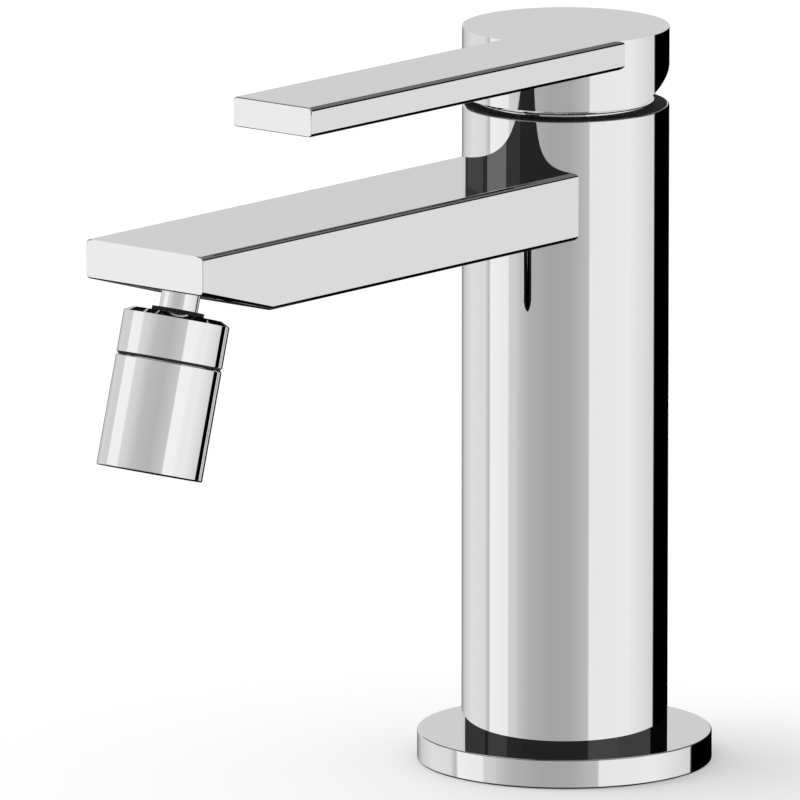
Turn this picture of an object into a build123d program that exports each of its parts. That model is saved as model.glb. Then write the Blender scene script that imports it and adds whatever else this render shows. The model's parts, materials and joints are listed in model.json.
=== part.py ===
from build123d import *
import os
from math import cos, radians, sin, tan

# Single-lever deck mixer for a bidet, in millimetres.
# The origin is the centre of the flange's underside, on the deck. +Z is up,
# and both the spout and the closed lever point towards -Y.

# Driving dimensions of the outside
column_radius = 22.5
column_wall = 2.0
body_height = 145.2
flange_radius = 32.2
flange_thickness = 6.3
edge_round = 0.3

spout_reach = 140.1
spout_width = 32.6
spout_height = 14.8
spout_drop = 11.3
spout_tip_height = 8.4
spout_slant_run = 22.5
spout_edge_round = 1.0
spout_wall = 2.2
spout_end_block = 28.0

head_gap = 2.1
head_height = 15.0
lever_reach = 111.1
lever_width = 21.6
lever_thickness = 6.4
lever_edge_round = 0.8
head_cut_angle = 23.3
head_cut_start = 1.8
head_recess_radius = 16.5
head_recess_depth = 6.0
socket_boss_width = 13.0
socket_boss_setback = 1.7

# Clearances
seat_gap = 0.05
pin_gap = 0.05
slide_gap = 0.1
free_gap = 0.3
overrun = 1.0

# Inlets and fixing, in the foot
hose_recess_depth = 12.0
hose_recess_radius = 16.5
foot_wall = 1.5
inlet_block_height = 34.0
inlet_offset = 7.8
inlet_setback = 4.5
inlet_core_radius = 4.46
inlet_thread_depth = 12.0
stud_offset = 10.0
stud_core_radius = 3.32
stud_thread_depth = 12.0
gasket_width = 3.5
gasket_thickness = 1.5

# Water tubes
riser_radius = 4.0
riser_wall = 1.0
riser_seat_depth = 6.0
waterway_radius = 3.0
waterway_wall = 0.8
waterway_drop = 5.6
waterway_seat_depth = 4.0

# Valve body and cartridge
cover_ring_thickness = 3.0
cover_ring_bore = 13.0
cartridge_radius = 14.0
valve_floor = 8.0
valve_port_depth = 5.0
valve_riser_seat = 4.0
channel_radius = 2.0
cross_channel_radius = 1.8
cross_channel_drop = 2.9
valve_outlet_seat = 1.5
nut_land = 1.9
nut_bore = 10.2
nut_height = 6.0
nut_flat_to_flat = 22.0
nut_flat_depth = 2.5
housing_wall = 1.3
housing_roof = 2.4
rotor_neck_radius = 8.8
rotor_disc_height = 3.2
rotor_neck_rise = 5.5
rotor_slot_length = 12.4
carrier_height = 6.5
carrier_radius = 8.2
carrier_pocket_depth = 5.8
disc_thickness = 2.5
mixing_chamber_depth = 1.3
mixing_chamber_length = 11.0
mixing_chamber_width = 6.0
port_radius = 2.2
port_offset = 5.0
port_setback = 4.0
outlet_offset = 6.0
base_flange_height = 6.0
base_spigot_height = 2.0
port_seal_width = 1.2
port_seal_thickness = 1.2

# Stem and its pivot
stem_width = 7.0
stem_top_gap = 5.2
stem_skirt = 3.5
finger_width = 5.0
finger_thickness = 3.2
finger_ball_radius = 2.6
pivot_rise = 1.2
pivot_arm = 10.0
pivot_pin_radius = 1.5

# Lever fastening
grub_radius = 2.5
grub_length = 6.0
grub_key_radius = 1.3
grub_key_depth = 2.5
grub_height = 5.3
plug_radius = 3.0
plug_length = 3.0

# Swivel aerator. Lengths run down its axis from the slanted underside of the spout.
swivel_to_tip = 11.8
swivel_radius = 11.35
collar_start = 4.15
collar_end = 14.0
collar_chamfer_width = 1.9
collar_chamfer_height = 0.95
groove_width = 0.3
shoulder_chamfer = 0.5
swivel_end = 38.4
neck_radius = 4.15
ball_radius = 5.6
ball_start = 6.95
ball_foot = 4.9
ball_bore = 2.2
collar_opening = 4.9
insert_radius = 7.5
insert_depth = 5.5
shank_radius = 5.2
insert_gasket_thickness = 1.0
spout_chamber_radius = 3.2
spout_chamber_depth = 3.0
liner_thickness = 0.8
liner_upper = 1.9
liner_lower = 5.1
spigot_wall = 1.5
spigot_start = 0.7
barrel_throat_radius = 4.0
barrel_wall = 1.85
aerator_chamber_depth = 15.5
aerator_recess = 1.0
aerator_wall = 1.3
aerator_gasket_thickness = 1.1
aerator_screen_thickness = 0.8
aerator_screen_setback = 2.0
aerator_grid_radius = 1.0
aerator_grid_pitch = 3.0
screen_rows = 2

# Heights worked out from the sizes above
column_bore = column_radius - column_wall
spout_top = body_height - spout_drop
spout_bottom = spout_top - spout_height
head_bottom = body_height + head_gap
head_top = head_bottom + head_height
waterway_height = spout_top - waterway_drop

cover_ring_base = body_height - cover_ring_thickness
valve_top = cover_ring_base - seat_gap
nut_base = valve_top - nut_height
housing_top = nut_base - seat_gap
housing_bore = cartridge_radius - housing_wall
rotor_disc_top = housing_top - housing_roof - slide_gap
rotor_disc_base = rotor_disc_top - rotor_disc_height
carrier_top = rotor_disc_base - free_gap
carrier_base = carrier_top - carrier_height
moving_disc_base = carrier_base - disc_thickness
fixed_disc_top = moving_disc_base - slide_gap
fixed_disc_base = fixed_disc_top - disc_thickness
housing_base = fixed_disc_base - base_spigot_height
cartridge_base_bottom = housing_base - base_flange_height
valve_floor_top = cartridge_base_bottom - seat_gap
valve_base = valve_floor_top - valve_floor
pivot_height = housing_top + pivot_rise
valve_radius = column_bore - seat_gap
nut_radius = cartridge_radius + nut_land
nut_seat = nut_radius + seat_gap

# The outlet channel runs up the middle of the wall between cartridge and column.
channel_offset = (cartridge_radius + seat_gap + valve_radius) / 2

# The gasket lies in the middle of the flange, between its bore and its rim.
foot_radius = hose_recess_radius + foot_wall
flange_bore = foot_radius + slide_gap
gasket_inner_radius = (flange_bore + flange_radius - gasket_width) / 2
gasket_outer_radius = gasket_inner_radius + gasket_width

# The axis of the swivel stands square on the slanted underside of the spout.
slant_rise = spout_height - spout_tip_height
slant_slope = slant_rise / spout_slant_run
slant = Vector(0, spout_slant_run, slant_rise).get_angle(Vector(0, 1, 0))
swivel_y = swivel_to_tip - spout_reach
swivel_z = spout_bottom + slant_slope * (spout_slant_run - swivel_to_tip)
swivel_down = Vector(0, -sin(radians(slant)), -cos(radians(slant)))
swivel_origin = Vector(0, swivel_y, swivel_z)
swivel_section = Plane(origin=swivel_origin, x_dir=(1, 0, 0), z_dir=(0, cos(radians(slant)), -sin(radians(slant))))
swivel_face = Plane(origin=swivel_origin, x_dir=(1, 0, 0), z_dir=swivel_down)
swivel_axis = Axis(swivel_origin, swivel_down)
ball_centre = swivel_origin + swivel_down * ball_start

os.makedirs("parts", exist_ok=True)


# Base flange: the round plate that covers the deck hole
with BuildPart() as base_flange:
    with BuildSketch():
        Circle(flange_radius)
        Circle(flange_bore, mode=Mode.SUBTRACT)
    extrude(amount=flange_thickness)
    outer_rims = base_flange.edges().filter_by(GeomType.CIRCLE).filter_by(lambda rim: rim.radius > column_radius)
    fillet(outer_rims, edge_round)
    with BuildSketch():
        Circle(gasket_outer_radius + seat_gap)
        Circle(gasket_inner_radius - seat_gap, mode=Mode.SUBTRACT)
    extrude(amount=gasket_thickness + seat_gap, mode=Mode.SUBTRACT)
base_flange.part.label = "base_flange"
export_step(base_flange.part, "parts/base_flange.step")


# Base gasket: flush in its groove under the flange
with BuildPart() as base_gasket:
    with BuildSketch():
        Circle(gasket_outer_radius)
        Circle(gasket_inner_radius, mode=Mode.SUBTRACT)
    extrude(amount=gasket_thickness)
base_gasket.part.label = "base_gasket"
export_step(base_gasket.part, "parts/base_gasket.step")


# Column: the tube that stands on the flange and carries the spout
with BuildPart() as column_body:
    with BuildSketch(Plane.XY.offset(flange_thickness)):
        Circle(column_radius)
        Circle(column_bore, mode=Mode.SUBTRACT)
    extrude(amount=body_height - flange_thickness)
    fillet(column_body.edges().group_by(Axis.Z)[-1].sort_by(SortBy.RADIUS)[-1], edge_round)
    with BuildSketch(Plane.XZ):
        with Locations((0, waterway_height)):
            Circle(waterway_radius + slide_gap)
    extrude(amount=column_radius + overrun, mode=Mode.SUBTRACT)
column_body.part.label = "column_body"
export_step(column_body.part, "parts/column_body.step")


# Inlet block: plugs the foot of the column, with two hose threads and the stud thread.
# Its foot goes through the flange, and its shoulder holds the flange down.
with BuildPart() as inlet_block:
    with BuildSketch():
        Circle(foot_radius)
    extrude(amount=inlet_block_height)
    with BuildSketch(Plane.XY.offset(flange_thickness)):
        Circle(valve_radius)
    extrude(amount=inlet_block_height - flange_thickness)
    with BuildSketch():
        Circle(hose_recess_radius)
    extrude(amount=hose_recess_depth, mode=Mode.SUBTRACT)
    with BuildSketch(Plane.XY.offset(hose_recess_depth)):
        with Locations((-inlet_offset, inlet_setback), (inlet_offset, inlet_setback)):
            Circle(inlet_core_radius)
    extrude(amount=inlet_thread_depth, mode=Mode.SUBTRACT)
    with BuildSketch(Plane.XY.offset(hose_recess_depth)):
        with Locations((0, -stud_offset)):
            Circle(stud_core_radius)
    extrude(amount=stud_thread_depth, mode=Mode.SUBTRACT)
    with Locations(Plane.XY.offset(inlet_block_height)):
        with Locations((-inlet_offset, inlet_setback), (inlet_offset, inlet_setback)):
            CounterBoreHole(
                radius=riser_radius - riser_wall,
                counter_bore_radius=riser_radius + seat_gap,
                counter_bore_depth=riser_seat_depth,
                depth=inlet_block_height - hose_recess_depth,
            )
inlet_block.part.label = "inlet_block"
export_step(inlet_block.part, "parts/inlet_block.step")


# Riser tubes: hot on the left of the user, cold on the right
riser_base = inlet_block_height - riser_seat_depth
riser_top = valve_base + valve_riser_seat
with BuildPart() as hot_riser:
    with BuildSketch(Plane.XY.offset(riser_base)):
        with Locations((-inlet_offset, inlet_setback)):
            Circle(riser_radius)
            Circle(riser_radius - riser_wall, mode=Mode.SUBTRACT)
    extrude(amount=riser_top - riser_base)
hot_riser.part.label = "hot_riser"
export_step(hot_riser.part, "parts/hot_riser.step")

with BuildPart() as cold_riser:
    with BuildSketch(Plane.XY.offset(riser_base)):
        with Locations((inlet_offset, inlet_setback)):
            Circle(riser_radius)
            Circle(riser_radius - riser_wall, mode=Mode.SUBTRACT)
    extrude(amount=riser_top - riser_base)
cold_riser.part.label = "cold_riser"
export_step(cold_riser.part, "parts/cold_riser.step")


# Valve body: the brass cup that holds the cartridge and feeds the spout
with BuildPart() as valve_body:
    with BuildSketch(Plane.XY.offset(valve_base)):
        Circle(valve_radius)
    extrude(amount=valve_top - valve_base)
    with BuildSketch(Plane.XY.offset(valve_floor_top)):
        Circle(cartridge_radius + seat_gap)
    extrude(amount=valve_top - valve_floor_top, mode=Mode.SUBTRACT)
    with BuildSketch(Plane.XY.offset(nut_base)):
        Circle(nut_seat)
    extrude(amount=nut_height, mode=Mode.SUBTRACT)
    with BuildSketch(Plane.XY.offset(valve_base)):
        with Locations((-inlet_offset, inlet_setback), (inlet_offset, inlet_setback)):
            Circle(riser_radius + seat_gap)
    extrude(amount=valve_riser_seat, mode=Mode.SUBTRACT)
    with BuildSketch(Plane.XY.offset(valve_base)):
        with Locations((-inlet_offset, inlet_setback), (inlet_offset, inlet_setback)):
            Circle(riser_radius - riser_wall)
    extrude(amount=valve_port_depth, mode=Mode.SUBTRACT)
    with BuildSketch(Plane.XY.offset(valve_floor_top)):
        with Locations((-port_offset, port_setback), (port_offset, port_setback), (0, -outlet_offset)):
            Circle(port_radius)
    extrude(amount=-valve_port_depth, mode=Mode.SUBTRACT)
    with BuildSketch(Plane.XZ.offset(outlet_offset)):
        with Locations((0, valve_floor_top - cross_channel_drop)):
            Circle(cross_channel_radius)
    extrude(amount=channel_offset - outlet_offset, mode=Mode.SUBTRACT)
    with BuildSketch(Plane.XY.offset(valve_floor_top - valve_port_depth)):
        with Locations((0, -channel_offset)):
            Circle(channel_radius)
    extrude(amount=waterway_height + channel_radius - valve_floor_top + valve_port_depth, mode=Mode.SUBTRACT)
    with BuildSketch(Plane.XZ.offset(channel_offset)):
        with Locations((0, waterway_height)):
            Circle(cross_channel_radius)
    extrude(amount=valve_radius - channel_offset, mode=Mode.SUBTRACT)
    with BuildSketch(Plane.XZ.offset(valve_radius - valve_outlet_seat)):
        with Locations((0, waterway_height)):
            Circle(waterway_radius + seat_gap)
    extrude(amount=valve_outlet_seat + overrun, mode=Mode.SUBTRACT)
valve_body.part.label = "valve_body"
export_step(valve_body.part, "parts/valve_body.step")


# Spout waterway: the tube from the valve body to the chamber over the swivel
waterway_end = spout_reach - spout_end_block + waterway_seat_depth
with BuildPart() as spout_waterway:
    with BuildSketch(Plane.XZ.offset(valve_radius - valve_outlet_seat)):
        with Locations((0, waterway_height)):
            Circle(waterway_radius)
            Circle(waterway_radius - waterway_wall, mode=Mode.SUBTRACT)
    extrude(amount=waterway_end - valve_radius + valve_outlet_seat)
spout_waterway.part.label = "spout_waterway"
export_step(spout_waterway.part, "parts/spout_waterway.step")


# Spout arm: a flat hollow bar brazed to the column, with a solid end block
with BuildPart() as spout_arm:
    with BuildSketch(Plane.YZ):
        with BuildLine():
            Polyline(
                (0, spout_bottom),
                (spout_slant_run - spout_reach, spout_bottom),
                (-spout_reach, spout_top - spout_tip_height),
                (-spout_reach, spout_top),
                (0, spout_top),
                close=True,
            )
        make_face()
    extrude(amount=spout_width / 2, both=True)
    sides = spout_arm.faces().filter_by(Axis.X)
    long_edges = sides.edges().filter_by(lambda edge: abs(edge.tangent_at(0).Z) < cos(radians(slant)))
    root_edges = long_edges.filter_by(lambda edge: edge.center().Y > -column_radius / 2)
    fillet(long_edges - root_edges, spout_edge_round)
    with BuildSketch(Plane.XZ):
        with Locations((0, (spout_top + spout_bottom) / 2)):
            Rectangle(spout_width - 2 * spout_wall, spout_height - 2 * spout_wall)
    extrude(amount=spout_reach - spout_end_block, mode=Mode.SUBTRACT)
    with BuildSketch(Plane.XY.offset(spout_bottom - overrun)):
        Circle(column_radius)
    extrude(amount=spout_height + 2 * overrun, mode=Mode.SUBTRACT)
    with BuildSketch(Plane.XZ.offset(spout_reach - spout_end_block)):
        with Locations((0, waterway_height)):
            Circle(waterway_radius + seat_gap)
    extrude(amount=waterway_seat_depth, mode=Mode.SUBTRACT)
    with BuildSketch(Plane.XZ.offset(waterway_end)):
        with Locations((0, waterway_height)):
            Circle(waterway_radius - waterway_wall)
    extrude(amount=spout_end_block - waterway_seat_depth - swivel_to_tip, mode=Mode.SUBTRACT)
    with BuildSketch(swivel_face.offset(-insert_depth)):
        Circle(insert_radius + seat_gap)
    extrude(amount=insert_depth + overrun, mode=Mode.SUBTRACT)
    with BuildSketch(swivel_face.offset(-insert_depth)):
        Circle(spout_chamber_radius)
    extrude(amount=-spout_chamber_depth, mode=Mode.SUBTRACT)
spout_arm.part.label = "spout_arm"
export_step(spout_arm.part, "parts/spout_arm.step")


# Cartridge base: the plastic foot with its three ports, and its seals
with BuildPart() as cartridge_base:
    with BuildSketch(Plane.XY.offset(cartridge_base_bottom)):
        Circle(cartridge_radius)
    extrude(amount=base_flange_height)
    with BuildSketch(Plane.XY.offset(housing_base)):
        Circle(housing_bore - seat_gap)
    extrude(amount=base_spigot_height)
    with BuildSketch(Plane.XY.offset(cartridge_base_bottom)):
        with Locations((-port_offset, port_setback), (port_offset, port_setback), (0, -outlet_offset)):
            Circle(port_radius + port_seal_width + seat_gap)
    extrude(amount=port_seal_thickness, mode=Mode.SUBTRACT)
    with BuildSketch(Plane.XY.offset(cartridge_base_bottom)):
        with Locations((-port_offset, port_setback), (port_offset, port_setback), (0, -outlet_offset)):
            Circle(port_radius)
    extrude(amount=base_flange_height + base_spigot_height, mode=Mode.SUBTRACT)
cartridge_base.part.label = "cartridge_base"
export_step(cartridge_base.part, "parts/cartridge_base.step")

with BuildPart() as port_seals:
    with BuildSketch(Plane.XY.offset(cartridge_base_bottom)):
        with Locations((-port_offset, port_setback), (port_offset, port_setback), (0, -outlet_offset)):
            Circle(port_radius + port_seal_width)
            Circle(port_radius, mode=Mode.SUBTRACT)
    extrude(amount=port_seal_thickness)
port_seals.part.label = "port_seals"
export_step(port_seals.part, "parts/port_seals.step")


# Fixed ceramic disc: three ports, held in the housing
with BuildPart() as fixed_disc:
    with BuildSketch(Plane.XY.offset(fixed_disc_base)):
        Circle(housing_bore - seat_gap)
        with Locations((-port_offset, port_setback), (port_offset, port_setback), (0, -outlet_offset)):
            Circle(port_radius, mode=Mode.SUBTRACT)
    extrude(amount=disc_thickness)
fixed_disc.part.label = "fixed_disc"
export_step(fixed_disc.part, "parts/fixed_disc.step")


# Moving ceramic disc: a blind chamber underneath joins the ports as it slides
with BuildPart() as moving_disc:
    with BuildSketch(Plane.XY.offset(moving_disc_base)):
        Circle(carrier_radius)
    extrude(amount=disc_thickness)
    with BuildSketch(Plane.XY.offset(moving_disc_base)):
        SlotOverall(mixing_chamber_length, mixing_chamber_width, rotation=90)
    extrude(amount=mixing_chamber_depth, mode=Mode.SUBTRACT)
moving_disc.part.label = "moving_disc"
export_step(moving_disc.part, "parts/moving_disc.step")


# Disc carrier: its square pocket takes the ball at the foot of the stem
with BuildPart() as disc_carrier:
    with BuildSketch(Plane.XY.offset(carrier_base)):
        Circle(carrier_radius)
    extrude(amount=carrier_height)
    with BuildSketch(Plane.XY.offset(carrier_top - carrier_pocket_depth)):
        Rectangle(2 * (finger_ball_radius + free_gap), 2 * (finger_ball_radius + free_gap))
    extrude(amount=carrier_pocket_depth, mode=Mode.SUBTRACT)
disc_carrier.part.label = "disc_carrier"
export_step(disc_carrier.part, "parts/disc_carrier.step")


# Cartridge housing: the plastic shell over the discs and the rotor
with BuildPart() as cartridge_housing:
    with BuildSketch(Plane.XY.offset(housing_base)):
        Circle(cartridge_radius)
    extrude(amount=housing_top - housing_base)
    with BuildSketch(Plane.XY.offset(housing_base)):
        Circle(housing_bore)
    extrude(amount=housing_top - housing_roof - housing_base, mode=Mode.SUBTRACT)
    with BuildSketch(Plane.XY.offset(housing_top - housing_roof)):
        Circle(rotor_neck_radius + pin_gap)
    extrude(amount=housing_roof, mode=Mode.SUBTRACT)
cartridge_housing.part.label = "cartridge_housing"
export_step(cartridge_housing.part, "parts/cartridge_housing.step")


# Cartridge rotor: turns in the housing and carries the stem on a pin
with BuildPart() as cartridge_rotor:
    with BuildSketch(Plane.XY.offset(rotor_disc_base)):
        Circle(housing_bore - slide_gap)
    extrude(amount=rotor_disc_height)
    with BuildSketch(Plane.XY.offset(rotor_disc_top)):
        Circle(rotor_neck_radius)
    extrude(amount=housing_top + rotor_neck_rise - rotor_disc_top)
    with BuildSketch(Plane.XY.offset(rotor_disc_base)):
        Rectangle(stem_width + 2 * free_gap, rotor_slot_length)
    extrude(amount=housing_top + rotor_neck_rise - rotor_disc_base, mode=Mode.SUBTRACT)
    with BuildSketch(Plane.YZ):
        with Locations((0, pivot_height)):
            Circle(pivot_pin_radius)
    extrude(amount=rotor_neck_radius, both=True, mode=Mode.SUBTRACT)
cartridge_rotor.part.label = "cartridge_rotor"
export_step(cartridge_rotor.part, "parts/cartridge_rotor.step")


# Pivot pin: the steel pin on which the stem tilts
with BuildPart() as pivot_pin:
    with BuildSketch(Plane.YZ):
        with Locations((0, pivot_height)):
            Circle(pivot_pin_radius)
    extrude(amount=rotor_neck_radius - edge_round, both=True)
pivot_pin.part.label = "pivot_pin"
export_step(pivot_pin.part, "parts/pivot_pin.step")


# Cartridge stem: square above the pin, a finger with a ball below it
stem_top = head_top - stem_top_gap
stem_base = pivot_height - stem_skirt
with BuildPart() as cartridge_stem:
    with BuildSketch(Plane.XY.offset(stem_base)):
        Rectangle(stem_width, stem_width)
    extrude(amount=stem_top - stem_base)
    chamfer(cartridge_stem.edges().group_by(Axis.Z)[-1], edge_round)
    with BuildSketch(Plane.XY.offset(pivot_height - pivot_arm)):
        Rectangle(finger_width, finger_thickness)
    extrude(amount=pivot_arm - stem_skirt)
    with Locations((0, 0, pivot_height - pivot_arm)):
        Sphere(finger_ball_radius)
    with BuildSketch(Plane.YZ):
        with Locations((0, pivot_height)):
            Circle(pivot_pin_radius + pin_gap)
    extrude(amount=stem_width, both=True, mode=Mode.SUBTRACT)
cartridge_stem.part.label = "cartridge_stem"
export_step(cartridge_stem.part, "parts/cartridge_stem.step")


# Cartridge nut: the threaded ring that holds the cartridge down
with BuildPart() as cartridge_nut:
    with BuildSketch(Plane.XY.offset(nut_base)):
        Circle(nut_radius)
        Circle(nut_bore, mode=Mode.SUBTRACT)
    extrude(amount=nut_height)
    with BuildSketch(Plane.XY.offset(nut_base + nut_height)):
        Circle(nut_radius)
        RegularPolygon(nut_flat_to_flat / 2, side_count=6, major_radius=False, mode=Mode.SUBTRACT)
    extrude(amount=-nut_flat_depth, mode=Mode.SUBTRACT)
cartridge_nut.part.label = "cartridge_nut"
export_step(cartridge_nut.part, "parts/cartridge_nut.step")


# Cover ring: closes the top of the column, flush with its rim
with BuildPart() as cover_ring:
    with BuildSketch(Plane.XY.offset(cover_ring_base)):
        Circle(column_bore - seat_gap)
        Circle(cover_ring_bore, mode=Mode.SUBTRACT)
    extrude(amount=cover_ring_thickness)
cover_ring.part.label = "cover_ring"
export_step(cover_ring.part, "parts/cover_ring.step")


# Lever handle: a round head with a flat bar along one half of it.
# The back of the head is cut away on a slope, so it clears the rim when the bar is lifted.
grub_z = head_bottom + grub_height
head_cut_end = column_radius + overrun
with BuildPart() as lever_handle:
    with BuildSketch(Plane.XY.offset(head_top)):
        with Locations((0, -lever_reach)):
            Rectangle(lever_width, lever_reach, align=(Align.MIN, Align.MIN))
    extrude(amount=-lever_thickness)
    bar_edges = lever_handle.edges().filter_by(Axis.Y)
    fillet(bar_edges, lever_edge_round)
    with BuildSketch(Plane.XY.offset(head_bottom)):
        Circle(column_radius)
    extrude(amount=head_height)
    with BuildSketch(Plane.YZ):
        with BuildLine():
            Polyline(
                (-head_cut_start, head_bottom),
                (head_cut_end, head_bottom + (head_cut_end + head_cut_start) * tan(radians(head_cut_angle))),
                (head_cut_end, head_bottom - overrun),
                (-head_cut_start, head_bottom - overrun),
                close=True,
            )
        make_face()
    extrude(amount=head_cut_end, both=True, mode=Mode.SUBTRACT)
    with BuildSketch(Plane.XY.offset(head_bottom)):
        Circle(head_recess_radius)
        Rectangle(socket_boss_width, socket_boss_width, mode=Mode.SUBTRACT)
    extrude(amount=head_recess_depth, mode=Mode.SUBTRACT)
    with BuildSketch(Plane.XY.offset(head_bottom)):
        Rectangle(socket_boss_width, socket_boss_width)
    extrude(amount=socket_boss_setback, mode=Mode.SUBTRACT)
    with BuildSketch(Plane.XY.offset(head_bottom)):
        Rectangle(stem_width + 2 * seat_gap, stem_width + 2 * seat_gap)
    extrude(amount=stem_top + seat_gap - head_bottom, mode=Mode.SUBTRACT)
    with BuildSketch(Plane.YZ):
        with Locations((0, grub_z)):
            Circle(grub_radius + seat_gap)
    extrude(amount=-column_radius - overrun, mode=Mode.SUBTRACT)
    with BuildSketch(Plane.YZ.offset(-column_radius - overrun)):
        with Locations((0, grub_z)):
            Circle(plug_radius + seat_gap)
    extrude(amount=plug_length + overrun, mode=Mode.SUBTRACT)
lever_handle.part.label = "lever_handle"
export_step(lever_handle.part, "parts/lever_handle.step")


# Grub screw: clamps the handle to the stem
grub_start = stem_width / 2 + seat_gap
with BuildPart() as lever_grub_screw:
    with BuildSketch(Plane.YZ.offset(-grub_start)):
        with Locations((0, grub_z)):
            Circle(grub_radius)
    extrude(amount=-grub_length)
    with BuildSketch(Plane.YZ.offset(-grub_start - grub_length)):
        with Locations((0, grub_z)):
            RegularPolygon(grub_key_radius, side_count=6)
    extrude(amount=grub_key_depth, mode=Mode.SUBTRACT)
lever_grub_screw.part.label = "lever_grub_screw"
export_step(lever_grub_screw.part, "parts/lever_grub_screw.step")


# Plug: covers the grub screw hole, its face rounded like the head
with BuildPart() as lever_plug:
    with BuildSketch(Plane.YZ.offset(-column_radius)):
        with Locations((0, grub_z)):
            Circle(plug_radius)
    extrude(amount=plug_length)
    with BuildSketch(Plane.XY.offset(head_bottom)):
        Circle(column_radius)
    extrude(amount=head_height, mode=Mode.INTERSECT)
lever_plug.part.label = "lever_plug"
export_step(lever_plug.part, "parts/lever_plug.step")


# Spout insert: the threaded bush in the slanted underside, with its gasket
with BuildPart() as insert_gasket:
    with BuildSketch(swivel_face.offset(-insert_depth)):
        Circle(insert_radius)
        Circle(spout_chamber_radius, mode=Mode.SUBTRACT)
    extrude(amount=insert_gasket_thickness)
insert_gasket.part.label = "insert_gasket"
export_step(insert_gasket.part, "parts/insert_gasket.step")

insert_start = insert_gasket_thickness - insert_depth
with BuildPart() as spout_insert:
    with BuildSketch(swivel_face.offset(insert_start)):
        Circle(insert_radius)
        Circle(shank_radius + seat_gap, mode=Mode.SUBTRACT)
    extrude(amount=-insert_start)
spout_insert.part.label = "spout_insert"
export_step(spout_insert.part, "parts/spout_insert.step")


# Ball stem: a threaded shank, the bright neck and the ball, bored through
ball_foot_end = ball_start + ball_foot
with BuildPart() as ball_stem:
    with BuildSketch(swivel_face.offset(insert_start)):
        Circle(shank_radius)
    extrude(amount=-insert_start)
    with BuildSketch(swivel_face):
        Circle(neck_radius)
    extrude(amount=ball_start)
    with Locations(ball_centre):
        Sphere(ball_radius)
    with BuildSketch(swivel_face.offset(ball_foot_end)):
        Circle(ball_radius)
    extrude(amount=ball_radius, mode=Mode.SUBTRACT)
    with BuildSketch(swivel_face.offset(insert_start)):
        Circle(ball_bore)
    extrude(amount=ball_foot_end - insert_start + overrun, mode=Mode.SUBTRACT)
ball_stem.part.label = "ball_stem"
export_step(ball_stem.part, "parts/ball_stem.step")


# Ball liners: two cups, one inside the other, under the equator of the ball
inner_liner_bore = ball_radius + slide_gap
inner_liner_radius = inner_liner_bore + liner_thickness
outer_liner_bore = inner_liner_radius + slide_gap
outer_liner_radius = outer_liner_bore + liner_thickness
cup_radius = outer_liner_radius + slide_gap
liner_height = liner_lower - liner_upper
with BuildPart() as inner_liner:
    with BuildSketch(swivel_face.offset(ball_start + liner_upper)):
        Circle(inner_liner_radius)
    extrude(amount=liner_height)
    with Locations(ball_centre):
        Sphere(inner_liner_radius, mode=Mode.INTERSECT)
    with Locations(ball_centre):
        Sphere(inner_liner_bore, mode=Mode.SUBTRACT)
inner_liner.part.label = "inner_liner"
export_step(inner_liner.part, "parts/inner_liner.step")

with BuildPart() as outer_liner:
    with BuildSketch(swivel_face.offset(ball_start + liner_upper)):
        Circle(outer_liner_radius)
    extrude(amount=liner_height)
    with Locations(ball_centre):
        Sphere(outer_liner_radius, mode=Mode.INTERSECT)
    with Locations(ball_centre):
        Sphere(outer_liner_bore, mode=Mode.SUBTRACT)
outer_liner.part.label = "outer_liner"
export_step(outer_liner.part, "parts/outer_liner.step")


# Swivel collar: its lip holds the ball, its skirt screws over the barrel
spigot_radius = cup_radius + spigot_wall
spigot_top = ball_start + spigot_start
with BuildPart() as swivel_collar:
    with BuildSketch(swivel_section):
        with BuildLine():
            Polyline(
                (0, collar_start),
                (swivel_radius - collar_chamfer_width, collar_start),
                (swivel_radius, collar_start + collar_chamfer_height),
                (swivel_radius, collar_end),
                (0, collar_end),
                close=True,
            )
        make_face()
    revolve(axis=swivel_axis)
    with BuildSketch(swivel_face.offset(collar_start)):
        Circle(collar_opening)
    extrude(amount=ball_start - collar_start, mode=Mode.SUBTRACT)
    with Locations(ball_centre):
        Sphere(ball_radius + slide_gap, mode=Mode.SUBTRACT)
    with BuildSketch(swivel_face.offset(spigot_top - seat_gap)):
        Circle(spigot_radius + seat_gap)
    extrude(amount=collar_end - spigot_top + seat_gap, mode=Mode.SUBTRACT)
swivel_collar.part.label = "swivel_collar"
export_step(swivel_collar.part, "parts/swivel_collar.step")


# Aerator barrel: a cup for the ball above, the aerator chamber below
barrel_start = collar_end + groove_width
chamber_radius = swivel_radius - barrel_wall
chamber_start = swivel_end - aerator_chamber_depth
with BuildPart() as aerator_barrel:
    with BuildSketch(swivel_section):
        with BuildLine():
            Polyline(
                (0, spigot_top),
                (spigot_radius, spigot_top),
                (spigot_radius, barrel_start),
                (swivel_radius - shoulder_chamfer, barrel_start),
                (swivel_radius, barrel_start + shoulder_chamfer),
                (swivel_radius, swivel_end),
                (0, swivel_end),
                close=True,
            )
        make_face()
    revolve(axis=swivel_axis)
    fillet(aerator_barrel.edges().sort_by(Axis(swivel_origin, swivel_down))[-1], edge_round)
    with Locations(ball_centre):
        Sphere(cup_radius, mode=Mode.SUBTRACT)
    with BuildSketch(swivel_face.offset(ball_start)):
        Circle(barrel_throat_radius)
    extrude(amount=chamber_start - ball_start, mode=Mode.SUBTRACT)
    with BuildSketch(swivel_face.offset(chamber_start)):
        Circle(chamber_radius)
    extrude(amount=aerator_chamber_depth + overrun, mode=Mode.SUBTRACT)
aerator_barrel.part.label = "aerator_barrel"
export_step(aerator_barrel.part, "parts/aerator_barrel.step")


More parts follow.
